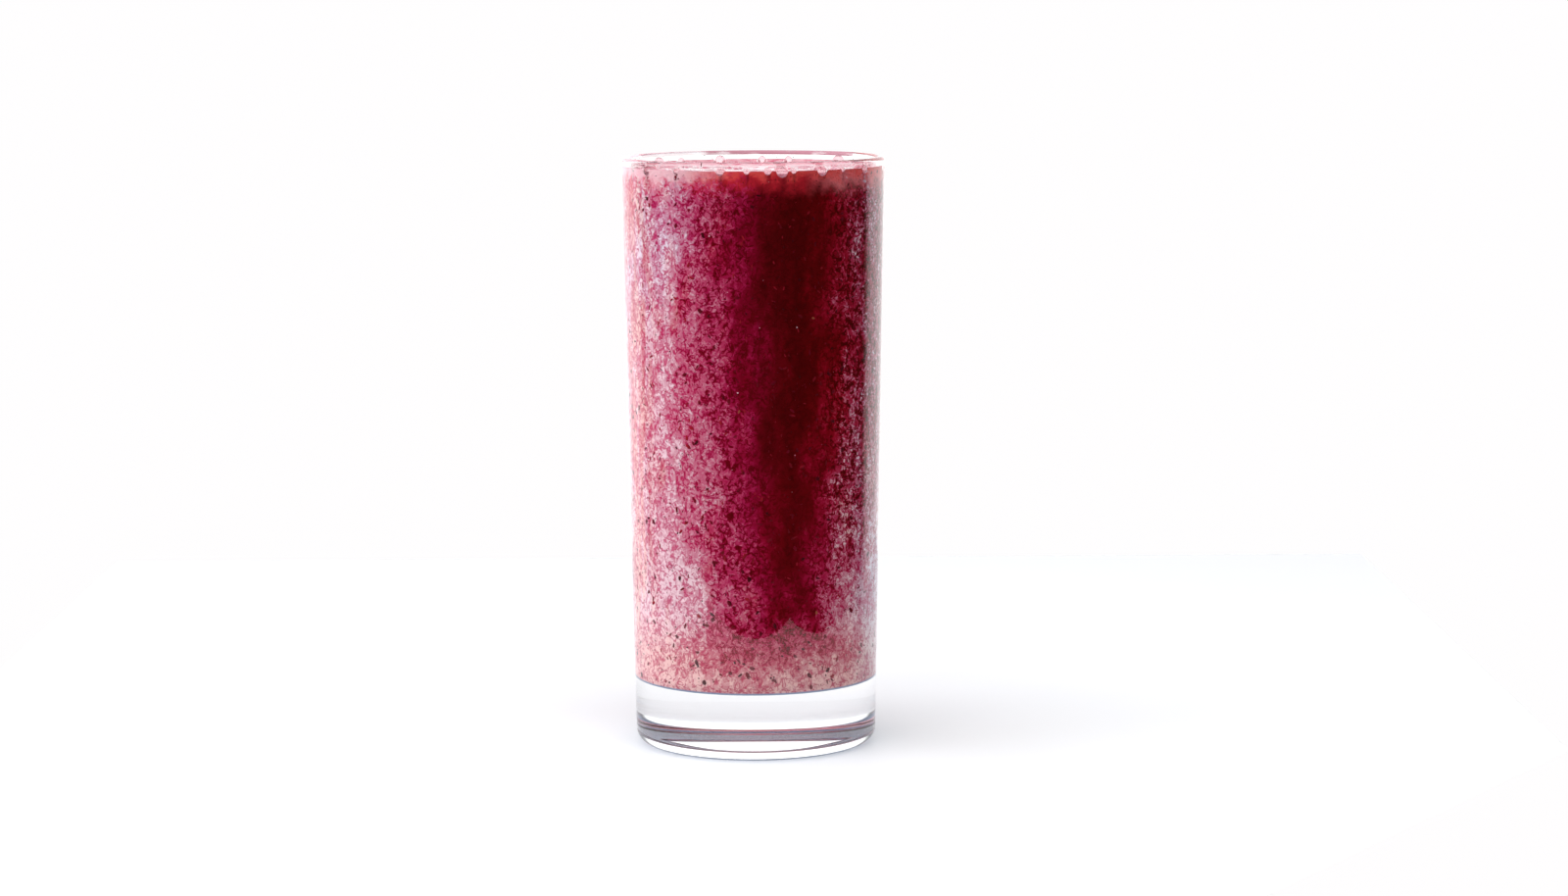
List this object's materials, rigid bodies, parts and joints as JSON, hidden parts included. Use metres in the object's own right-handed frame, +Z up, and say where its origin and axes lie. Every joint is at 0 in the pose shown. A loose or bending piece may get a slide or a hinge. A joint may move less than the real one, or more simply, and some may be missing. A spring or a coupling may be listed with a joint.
{
  "type": "berry smoothie",
  "caption": "Tall clear tumbler with a thick punted base, filled almost to its rim with a speckled crimson berry smoothie, with froth and bubbles along the wall.",
  "frame": {"origin": "centre of the glass's foot, on the surface that the glass stands on", "axes": "+Z up along the glass's axis, -Y towards the side that the picture shows, +X to the picture's right"},
  "size_m": [0.065, 0.065, 0.146],
  "materials": {
    "glass": "clear polished",
    "smoothie": "wet thick crimson fruit drink with pink froth and dark flecks of skin and seed"
  },
  "bodies": {
    "root": {"glass": "glass", "smoothie": "smoothie"}
  },
  "joints": []
}
